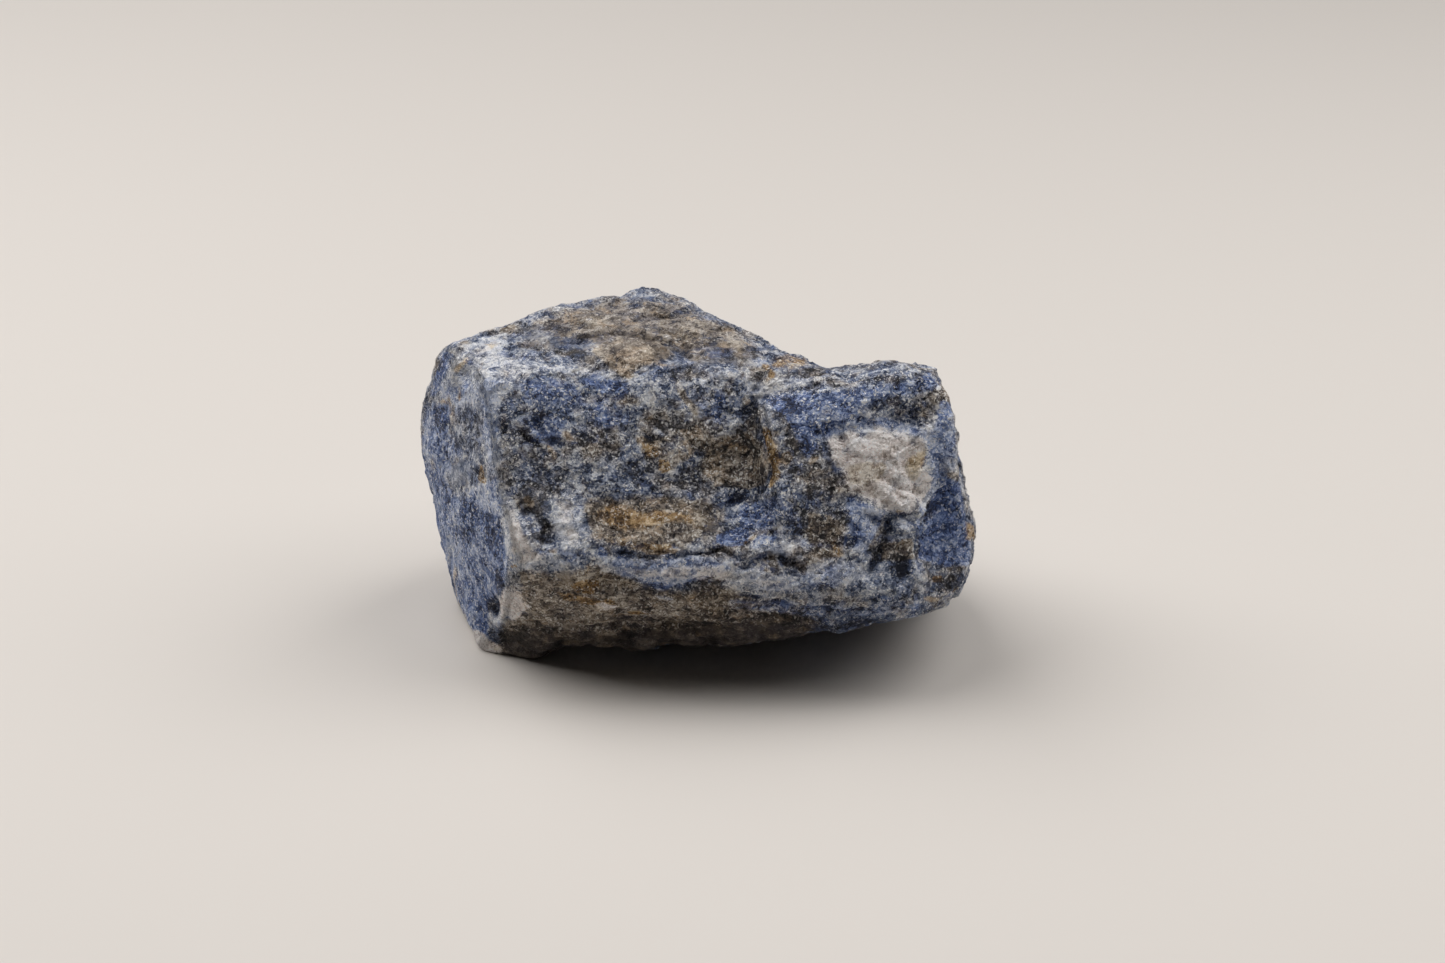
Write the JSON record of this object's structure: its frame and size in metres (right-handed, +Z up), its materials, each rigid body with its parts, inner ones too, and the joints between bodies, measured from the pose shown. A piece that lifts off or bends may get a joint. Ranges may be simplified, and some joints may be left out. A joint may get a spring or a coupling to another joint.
{
  "type": "blue quartz specimen",
  "caption": "Rough broken lump of blue quartz with a flat resting face, a stepped front and a raised right shoulder, kept as a mineral display piece.",
  "frame": {"origin": "middle of the bounding box in plan, on the plane of the flat underside", "axes": "+Z up from the flat underside, +X along the long side to the right of the broad broken front, -Y out of the broken front"},
  "size_m": [0.0556, 0.0398, 0.0303],
  "materials": {
    "blue_quartz": "rough granular break, dull with fine glinting grains, navy and grey-blue with pale worn edges and rust stains"
  },
  "bodies": {
    "root": {"stone": "blue_quartz"}
  },
  "joints": []
}
